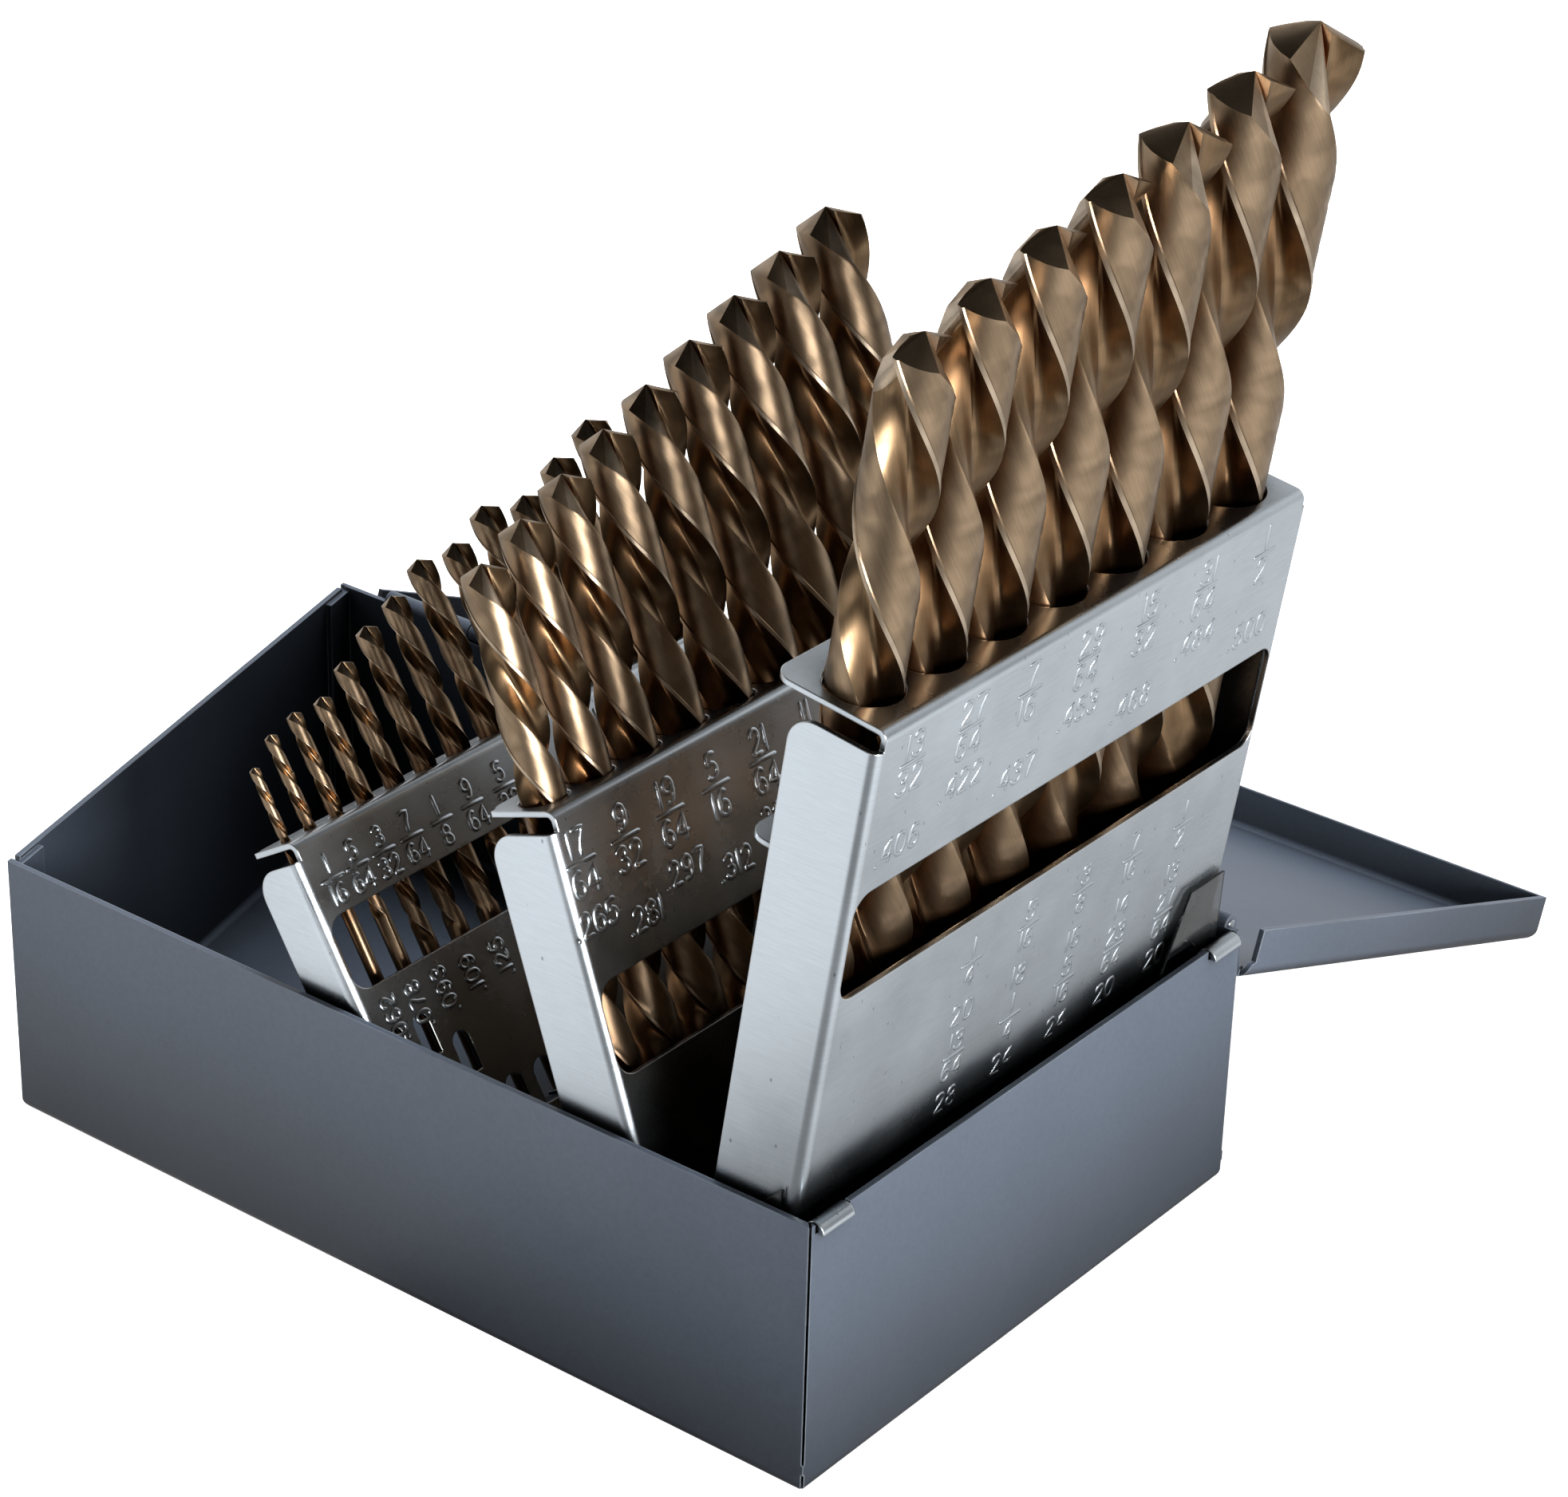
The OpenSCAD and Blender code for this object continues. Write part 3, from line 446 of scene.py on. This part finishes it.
def drill_piece(name, radius, length, flutes, turn, matrix, spacing):
    """A twist drill on its foot: chamfered shank, twisted flutes, split point."""
    lead = LEAD * 2 * radius
    base = length - flutes
    tip_low = length - radius / math.tan(POINT)
    half = len(SECTION)
    sides = 2 * half
    lines = []
    for side in (0, 1):
        for share, reach in SECTION:
            lines.append((share * math.pi + side * math.pi, share * math.pi, reach))
    steps = math.ceil(flutes / (spacing * 2 * radius))
    points, grain = [], []

    def place(reach, angle, height, flat_angle, flat_reach):
        points.append((radius * reach * math.cos(angle), radius * reach * math.sin(angle),
                       height))
        grain.append((radius * flat_reach * math.cos(flat_angle),
                      radius * flat_reach * math.sin(flat_angle), height * STREAK))

    def facing(around, height):
        return turn + around - 2 * math.pi * (height - tip_low) / lead

    rows = [(FOOT_REACH, 0), (1.0, FOOT_CHAMFER * radius), (1.0, base * 0.5), (1.0, base)]
    for reach, height in rows:
        for around, _, _ in lines:
            place(reach, facing(around, base), height, around, reach)
    for k in range(1, steps + 1):
        for around, own, reach in lines:
            end = length - radius * reach * drop(own)
            height = base + (end - base) * k / steps
            grown = min(1, (height - base) / (RUN_OUT * radius)) ** RUN_OUT_BEND
            share = reach * grown + 1 - grown
            place(share, facing(around, height), height, around, reach)
    points.append((0, 0, length))
    grain.append((0, 0, length * STREAK))
    count = len(rows) + steps
    faces, regions = [tuple(range(sides - 1, -1, -1))], [SHANK]
    for k in range(count - 1):
        for j in range(sides):
            a, b = k * sides + j, k * sides + (j + 1) % sides
            faces.append((a, b, b + sides, a + sides))
            place_in = j % half
            if k < len(rows) - 1:
                regions.append(SHANK)
            elif place_in < MARGIN_SIDES:
                regions.append(MARGIN)
            elif place_in < LAND_SIDES:
                regions.append(LAND)
            else:
                regions.append(FLUTE)
    top = (count - 1) * sides
    for j in range(sides):
        faces.append((top + j, top + (j + 1) % sides, len(points) - 1))
        own = lines[j][1]
        regions.append(FLANK if own < FLANK_END else NOTCH if own < NOTCH_END else FLUTE)
    thing = new_object(name, points, faces, matrix, smooth=SMOOTH_DRILL)
    spread = thing.data.attributes.new("grain", "FLOAT_VECTOR", "POINT")
    spread.data.foreach_set("vector", [v for p in grain for v in p])
    kind = thing.data.attributes.new("region", "FLOAT", "FACE")
    kind.data.foreach_set("value", [float(r) for r in regions])
    return thing


def ridge(points, faces, line, half_width, height, to_panel):
    """Adds a raised stroke with a rounded section along a line on a panel."""
    rings = []
    count = len(line)
    closed = line[0] == line[-1] and count > 3
    for i, (x, y) in enumerate(line):
        before = line[i - 1] if i else (line[-2] if closed else line[0])
        after = line[i + 1] if i < count - 1 else (line[1] if closed else line[-1])
        dx, dy = after[0] - before[0], after[1] - before[1]
        size = math.hypot(dx, dy)
        rings.append((x, y, dx / size, dy / size, 1.0))
    if not closed:
        further = half_width * END_REACH
        x, y, dx, dy, _ = rings[0]
        rings.insert(0, (x - dx * further, y - dy * further, dx, dy, END_SHARE))
        x, y, dx, dy, _ = rings[-1]
        rings.append((x + dx * further, y + dy * further, dx, dy, END_SHARE))
    first = len(points)
    for x, y, dx, dy, grow in rings:
        for across, up in STROKE:
            points.append(to_panel(x - dy * across * half_width * grow,
                                   y + dx * across * half_width * grow,
                                   up * height * (END_HEIGHT + (1 - END_HEIGHT) * grow)))
    side = len(STROKE)
    for k in range(len(rings) - 1):
        for j in range(side - 1):
            a = first + k * side + j
            faces.append((a, a + side, a + side + 1, a + 1))
    if not closed:
        faces.append(tuple(first + j for j in range(side)))
        last = first + (len(rings) - 1) * side
        faces.append(tuple(last + j for j in range(side - 1, -1, -1)))


def smooth_line(line):
    """Rounds a stroke by adding points between its own ones."""
    if len(line) < 4:
        return line
    closed = line[0] == line[-1]
    made = []
    count = len(line)
    for i in range(count - 1):
        before = line[i - 1] if i else (line[-2] if closed else line[0])
        here, after = line[i], line[i + 1]
        beyond = line[i + 2] if i + 2 < count else (line[1] if closed else line[-1])
        for t in (0, 0.5):
            made.append(tuple(
                0.5 * (2 * h + (a - b) * t + (2 * b - 5 * h + 4 * a - e) * t * t
                       + (3 * h - b - 3 * a + e) * t ** 3)
                for b, h, a, e in zip(before, here, after, beyond)))
    made.append(line[-1])
    return made


class Stamp:
    """Collects the raised strokes of one stand's panel and makes them one piece."""

    def __init__(self, stand, half_width, height):
        self.stand, self.half_width, self.height = stand, half_width, height
        self.face = STANDS[stand][2]
        self.points, self.faces = [], []

    def stroke(self, line):
        def to_panel(y, z, out):
            return (self.face - SINK + out, y, z)
        ridge(self.points, self.faces, line, self.half_width, self.height, to_panel)

    def text(self, words, y, z, size, turned=False):
        """Digits centred at a place on the panel; turned ones read upwards."""
        gap = DIGIT_GAP * size
        widths = [(THIN_WIDTH if c in ".1" else DIGIT_WIDTH) * size for c in words]
        total = sum(widths) + gap * (len(words) - 1)
        at = -total / 2
        for c, width in zip(words, widths):
            for line in DIGITS[c]:
                drawn = []
                for u, v in smooth_line(line):
                    across = at + width / 2 + (u - DIGIT_WIDTH / 2) * size
                    along = (v - 0.5) * size
                    drawn.append((y - along, z + across) if turned
                                 else (y + across, z + along))
                self.stroke(drawn)
            at += width + gap

    def fraction(self, top, bottom, y, bar, size, rise, fall, width):
        """Two numbers over and under a bar, at their own distances from it."""
        self.text(top, y, bar + rise, size)
        self.stroke([(y - width / 2, bar), (y, bar), (y + width / 2, bar)])
        self.text(bottom, y, bar - fall, size)

    def finish(self, name, material):
        """Makes the collected strokes one piece that rides with the stand."""
        thing = new_object(name, self.points, self.faces, stand_matrix(self.stand),
                           smooth=SMOOTH_STROKE)
        give(thing, material)
        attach(thing, self.stand + "_stand")


def drill_places(stand):
    """Each size's place across a stand, read from the CAD nodes, in millimetres."""
    inverse = stand_matrix(stand).inverted()
    found = {}
    for n in range(STANDS[stand][3], STANDS[stand][4] + 1):
        node = frame["nodes"]["drill_" + size_name(n)]
        local = [inverse @ v.co for v in node.data.vertices]
        low = min(p.z for p in local)
        high = max(p.z for p in local)
        foot = [p for p in local if p.z < low + 0.1 * MM]
        x = (min(p.x for p in foot) + max(p.x for p in foot)) / 2
        y = (min(p.y for p in foot) + max(p.y for p in foot)) / 2
        radius = (max(p.y for p in foot) - min(p.y for p in foot)) / 2
        found[n] = (x / MM, y / MM, low / MM, high / MM, radius / MM)
    return found


# Stage

def make_floor():
    """A pale floor that shows white and keeps the object's shadow."""
    far, low = FLOOR_REACH, -FLOOR_GAP
    floor = new_object("floor", [(-far, -far, low), (far, -far, low), (far, far, low),
                                 (-far, far, low)], [(0, 1, 2, 3)])
    tree = bare_material(floor, "Pale floor")
    matt = add(tree, "BsdfDiffuse", {"Color": (0.8, 0.8, 0.8, 1)})
    away = add(tree, "VectorMath", {0: object_coords(tree)}, operation="LENGTH")
    shown = ramp(tree, away.outputs["Value"], 0.5, 1.6, 0.8, 1.0)
    glow = add(tree, "Emission", {"Color": WHITE, "Strength": ramp(
        tree, background_rays(tree), 0.0, 1.0, 0.3, shown)})
    both = add(tree, "AddShader", {0: matt.outputs[0], 1: glow.outputs[0]})
    add(tree, "OutputMaterial", {"Surface": both.outputs[0]})


def make_world(scene):
    """A white background with a faint light of its own."""
    world = bpy.data.worlds.new("Studio")
    world.use_nodes = True
    tree = world.node_tree
    tree.nodes.clear()
    sky = add(tree, "Background", {"Color": WHITE, "Strength": ramp(
        tree, background_rays(tree), 0.0, 1.0, 0.12, 1.0)})
    add(tree, "OutputWorld", {"Surface": sky.outputs[0]})
    scene.world = world


def make_lamps(scene):
    """Three soft lamps. The top one stays out of the metal's reflections."""
    middle = Vector(LAMP_TARGET) * MM
    for name, place, width, tall, power in LAMPS:
        light = bpy.data.lights.new(name, "AREA")
        light.shape = "RECTANGLE"
        light.size, light.size_y = width * MM, tall * MM
        light.energy = power
        lamp = bpy.data.objects.new(name, light)
        scene.collection.objects.link(lamp)
        spot = Vector(place) * MM
        lamp.location = spot
        lamp.rotation_mode = "QUATERNION"
        lamp.rotation_quaternion = (middle - spot).to_track_quat("-Z", "Y")
        lamp.visible_glossy = name != "top"


def make_mirrored_room():
    """What only the metal shows, as painted reflections: an unlit room with a glowing white wall
    beyond the case, and a glowing grey table, painted darker on the camera's side and with a
    painted shadow beside the case."""
    turns = [math.radians(360 / ROOM_SIDES * i) for i in range(ROOM_SIDES)]
    points = [(reach * math.sin(turn), -reach * math.cos(turn), height)
              for turn in turns for reach, height in ROOM_PROFILE]
    faces = [tuple(2 * i + 1 for i in range(ROOM_SIDES))]
    for i in range(ROOM_SIDES):
        a, b = 2 * i, 2 * ((i + 1) % ROOM_SIDES)
        faces.append((a, a + 1, b + 1, b))
    room = new_object("painted_reflection_room", points, faces)
    points = [(GREY_TABLE_REACH * math.sin(turn), GREY_TABLE_REACH * math.cos(turn),
               -GREY_TABLE_GAP) for turn in turns]
    table = new_object("painted_reflection_table", points, [tuple(range(ROOM_SIDES - 1, -1, -1))])
    for thing in (room, table):
        tree = bare_material(thing, thing.name)
        where = object_coords(tree)
        toward = add(tree, "VectorMath", {
            0: add(tree, "VectorMath", {0: where}, operation="NORMALIZE").outputs[0],
            1: CAMERA_SIDE}, operation="DOT_PRODUCT").outputs["Value"]
        if thing is room:
            height = add(tree, "SeparateXYZ", {0: where}).outputs["Z"]
            # Painted reflection: a dark room and ceiling with a glowing white wall beyond the
            # case.
            strength = maths(tree, "MULTIPLY", ramp(tree, toward, 0.05, -0.3, 0.02, 0.8),
                             ramp(tree, height, 1.2, 1.45, 1.0, 0.025))
        else:
            # Painted reflection and painted shadow: the table glows darker on the camera's side
            # and beside the case.
            away = add(tree, "VectorMath", {0: where, 1: (0.05, 0.02, 0)},
                       operation="DISTANCE").outputs["Value"]
            sides = maths(tree, "MULTIPLY", ramp(tree, toward, -0.1, 0.4, 0.64, 0.95),
                          ramp(tree, toward, 0.83, 0.97, 1.0, 0.27))
            strength = maths(tree, "MULTIPLY", sides,
                             ramp(tree, away, 0.06, 0.18, 0.4, 1.0))
        glow = add(tree, "Emission", {"Color": WHITE, "Strength": strength})
        add(tree, "OutputMaterial", {"Surface": glow.outputs[0]})
        for ray in ("camera", "diffuse", "shadow", "transmission", "volume_scatter"):
            setattr(thing, "visible_" + ray, False)


def make_camera(scene):
    """The camera of the photo."""
    camera = bpy.data.cameras.new("photo_camera")
    camera.lens, camera.sensor_width = CAMERA_LENS, CAMERA_SENSOR
    camera.clip_start, camera.clip_end = 0.01, 50
    eye = bpy.data.objects.new("photo_camera", camera)
    scene.collection.objects.link(eye)
    azimuth, rise, roll = (math.radians(v) for v in CAMERA_TURNS)
    back = Vector((math.sin(azimuth) * math.cos(rise),
                   -math.cos(azimuth) * math.cos(rise), math.sin(rise)))
    level = Vector((math.cos(azimuth), math.sin(azimuth), 0))
    up = back.cross(level)
    right = math.cos(roll) * level + math.sin(roll) * up
    over = -math.sin(roll) * level + math.cos(roll) * up
    pose = Matrix((right, over, back)).transposed().to_4x4()
    pose.translation = (Vector(CAMERA_TARGET) + CAMERA_DISTANCE * back) * MM
    eye.matrix_world = pose
    scene.camera = eye


# Settings and operators

class CaseLooks(bpy.types.PropertyGroup):
    paint_color: FloatVectorProperty(
        name="Paint", description="Colour of the painted sheet", subtype="COLOR",
        size=4, min=0, max=1, default=PAINT)
    zinc_color: FloatVectorProperty(
        name="Zinc", description="Colour of the plated sheet", subtype="COLOR",
        size=4, min=0, max=1, default=ZINC)
    bronze_color: FloatVectorProperty(
        name="Bronze", description="Colour of the drills' lands", subtype="COLOR",
        size=4, min=0, max=1, default=BRONZE)
    edge_radius: FloatProperty(
        name="Edge radius", description="Radius that light sees on the sheet's edges",
        subtype="DISTANCE", unit="LENGTH", min=0, max=0.002, default=0.0003)
    stroke_height: FloatProperty(
        name="Stamp height", description="How far the stamped numbers stand out",
        subtype="DISTANCE", unit="LENGTH", min=0, max=0.001, default=0.00024)
    twist: FloatProperty(
        name="Drill turn", description="A turn that is added to every drill in its hole",
        subtype="ANGLE", unit="ROTATION", default=0)


class StagePieces(bpy.types.Operator):
    """Makes the floor, the light and the camera of the photo"""
    bl_idname = "drill_case.stage"
    bl_label = "Stage"

    def execute(self, context):
        context.scene.view_settings.view_transform = "Standard"
        make_floor()
        make_world(context.scene)
        make_lamps(context.scene)
        make_mirrored_room()
        make_camera(context.scene)
        return {"FINISHED"}


class PaintedPieces(bpy.types.Operator):
    """Gives the case and the lid their satin paint"""
    bl_idname = "drill_case.paint"
    bl_label = "Paint"

    def execute(self, context):
        looks = context.scene.drill_case
        material, tree, shader = new_material("Grey paint")
        surface = use_group(tree, bpy.data.node_groups["Sheet surface"], {
            "Edge radius": looks.edge_radius, "Wave size": 700.0, "Wave depth": 0.000012,
            "Dents": 1.5})
        look = use_group(tree, bpy.data.node_groups["Paint look"], {
            "Color": looks.paint_color, "Edge": surface.outputs["Edge"]})
        tree.links.new(look.outputs["Color"], shader.inputs["Base Color"])
        tree.links.new(look.outputs["Roughness"], shader.inputs["Roughness"])
        tree.links.new(surface.outputs["Normal"], shader.inputs["Normal"])
        for name in ("case_body", "lid"):
            give(frame["nodes"][name], material)
        return {"FINISHED"}


class PlatedPieces(bpy.types.Operator):
    """Gives the stands, the bracket and the pins their zinc plating"""
    bl_idname = "drill_case.plating"
    bl_label = "Zinc plating"

    def execute(self, context):
        looks = context.scene.drill_case
        material, tree, shader = new_material("Zinc plate")
        surface = use_group(tree, bpy.data.node_groups["Sheet surface"], {
            "Edge radius": looks.edge_radius, "Wave size": 160.0, "Wave depth": 0.00002,
            "Dents": 3.0})
        look = use_group(tree, bpy.data.node_groups["Zinc look"], {
            "Color": looks.zinc_color, "Edge": surface.outputs["Edge"]})
        tree.links.new(look.outputs["Color"], shader.inputs["Base Color"])
        tree.links.new(look.outputs["Roughness"], shader.inputs["Roughness"])
        tree.links.new(surface.outputs["Normal"], shader.inputs["Normal"])
        shader.inputs["Metallic"].default_value = 1.0
        for name in ("stand_large", "stand_medium", "stand_small", "step_bracket",
                     "lid_hinge_pin", "hinge_pin_large", "hinge_pin_medium",
                     "hinge_pin_small"):
            give(frame["nodes"][name], material)
        return {"FINISHED"}


class SlipPieces(bpy.types.Operator):
    """Gives the two clear slips their glassy plastic"""
    bl_idname = "drill_case.slips"
    bl_label = "Clear slips"

    def execute(self, context):
        looks = context.scene.drill_case
        material, tree, shader = new_material("Clear plastic")
        surface = use_group(tree, bpy.data.node_groups["Sheet surface"], {
            "Edge radius": looks.edge_radius * 0.4, "Wave size": 90.0,
            "Wave depth": 0.00003})
        # The paint look brings its painted shade into the slips' colour near corners and other
        # parts.
        look = use_group(tree, bpy.data.node_groups["Paint look"], {
            "Color": (0.93, 0.96, 0.97, 1), "Worn color": (0.97, 0.98, 0.99, 1),
            "Edge": surface.outputs["Edge"], "Roughness": 0.06})
        tree.links.new(look.outputs["Color"], shader.inputs["Base Color"])
        tree.links.new(look.outputs["Roughness"], shader.inputs["Roughness"])
        tree.links.new(surface.outputs["Normal"], shader.inputs["Normal"])
        shader.inputs["Transmission Weight"].default_value = 1.0
        shader.inputs["IOR"].default_value = 1.45
        for name in ("clear_slip_front", "clear_slip_rear"):
            give(frame["nodes"][name], material)
        return {"FINISHED"}


class DrillPieces(bpy.types.Operator):
    """Makes the 29 twist drills with their margins, flutes and split points"""
    bl_idname = "drill_case.drills"
    bl_label = "Twist drills"

    def execute(self, context):
        looks = context.scene.drill_case
        material, tree, shader = new_material("Bronze steel")
        look = use_group(tree, bpy.data.node_groups["Bronze look"],
                         {"Color": looks.bronze_color})
        bump = add(tree, "Bump", {"Strength": 1.0, "Distance": 0.00001,
                                  "Height": look.outputs["Height"]})
        tree.links.new(look.outputs["Color"], shader.inputs["Base Color"])
        tree.links.new(look.outputs["Roughness"], shader.inputs["Roughness"])
        tree.links.new(bump.outputs[0], shader.inputs["Normal"])
        shader.inputs["Metallic"].default_value = 1.0
        for stand in STANDS:
            body = STANDS[stand][0].replace("fold_", "") + "_stand"
            spacing = {"large": 0.11, "medium": 0.13, "small": 0.17}[stand]
            for n, (x, y, low, high, radius) in drill_places(stand).items():
                turn = math.radians(TURNS.get(n, TURN)) + looks.twist
                name = size_name(n)
                matrix = stand_matrix(stand) @ Matrix.Translation(
                    Vector((x, y, low)) * MM)
                thing = drill_piece("twist_drill_" + name, radius, high - low,
                                    FLUTES[n - 4] * INCH / 16, turn, matrix, spacing)
                give(thing, material)
                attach(thing, body)
                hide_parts("drill_" + name)
        return {"FINISHED"}


class NumberPieces(bpy.types.Operator):
    """Makes the raised numbers on the three panels"""
    bl_idname = "drill_case.numbers"
    bl_label = "Stamped numbers"

    def execute(self, context):
        material = bpy.data.materials.get("Zinc plate")
        if material is None:
            self.report({"ERROR"}, "make the zinc plating first")
            return {"CANCELLED"}
        height = context.scene.drill_case.stroke_height / MM

        def parts(n):
            return size_name(n).split("_")

        def decimal(n):
            return f"{math.floor(n / 64 * 1000 + 0.001) / 1000:.3f}"[1:]
        stamp = Stamp("large", 0.31, 0.55 * height)
        places = drill_places("large")
        for n, (_, y, _, _, _) in places.items():
            top, bottom = parts(n)
            stamp.fraction(top, bottom, y, 78.8, 3.6, 2.5, 2.7, 4.9)
            words = {27: ".422"}.get(n, decimal(n))
            stamp.text(words, y, 66.2 if n % 2 == 0 else 70.5, 3.4)
        for y, cells in zip(TABLE_PLACES, TABLE_CELLS):
            for cell, z in zip(cells, TABLE_HEIGHTS):
                if "/" in cell:
                    top, bottom = cell.split("/")
                    stamp.fraction(top, bottom, y, z, 3.0, 2.4, 2.3, 4.4)
                else:
                    stamp.text(cell, y, z, 3.2)
        stamp.finish("numbers_large", material)

        stamp = Stamp("medium", 0.38, 0.8 * height)
        for n, (_, y, _, _, _) in drill_places("medium").items():
            top, bottom = parts(n)
            stamp.fraction(top, bottom, y - 2.4, 65.4, 3.5, 2.8, 2.7, 5.4)
            words = {19: ".297"}.get(n, decimal(n))
            stamp.text(words, y - 2.4, 57.2 if n % 2 else 54.1, 3.2)
        stamp.finish("numbers_medium", material)

        stamp = Stamp("small", 0.34, height)
        for n, (_, y, _, _, _) in drill_places("small").items():
            top, bottom = parts(n)
            stamp.fraction(top, bottom, y + 0.9, 60.1, 2.7, 2.3, 2.3, 4.2)
            stamp.text(decimal(n), y + 0.9, 38.4, 2.6, turned=True)
        stamp.finish("numbers_small", material)
        return {"FINISHED"}


class CasePanel(bpy.types.Panel):
    """Buttons that make the pieces of the drill bit case"""
    bl_idname = "VIEW3D_PT_drill_case"
    bl_label = "Drill bit case"
    bl_space_type = "VIEW_3D"
    bl_region_type = "UI"
    bl_category = "Drill Case"

    def draw(self, context):
        looks = context.scene.drill_case
        for name in ("paint_color", "zinc_color", "bronze_color", "edge_radius",
                     "stroke_height", "twist"):
            self.layout.prop(looks, name)
        for kind in PIECES:
            self.layout.operator(kind.bl_idname)


PIECES = (StagePieces, PaintedPieces, PlatedPieces, SlipPieces, DrillPieces, NumberPieces)
CLASSES = (CaseLooks, *PIECES, CasePanel)


def register():
    for kind in CLASSES:
        bpy.utils.register_class(kind)
    bpy.types.Scene.drill_case = PointerProperty(type=CaseLooks)
    for make in (sheet_surface, paint_look, zinc_look, bronze_look):
        make()


def unregister():
    del bpy.types.Scene.drill_case
    for kind in reversed(CLASSES):
        bpy.utils.unregister_class(kind)


def main():
    register()
    for name in ("stage", "paint", "plating", "slips", "drills", "numbers"):
        if getattr(bpy.ops.drill_case, name)() != {"FINISHED"}:
            raise RuntimeError("the step " + name + " failed")


if __name__ == "__main__":
    main()
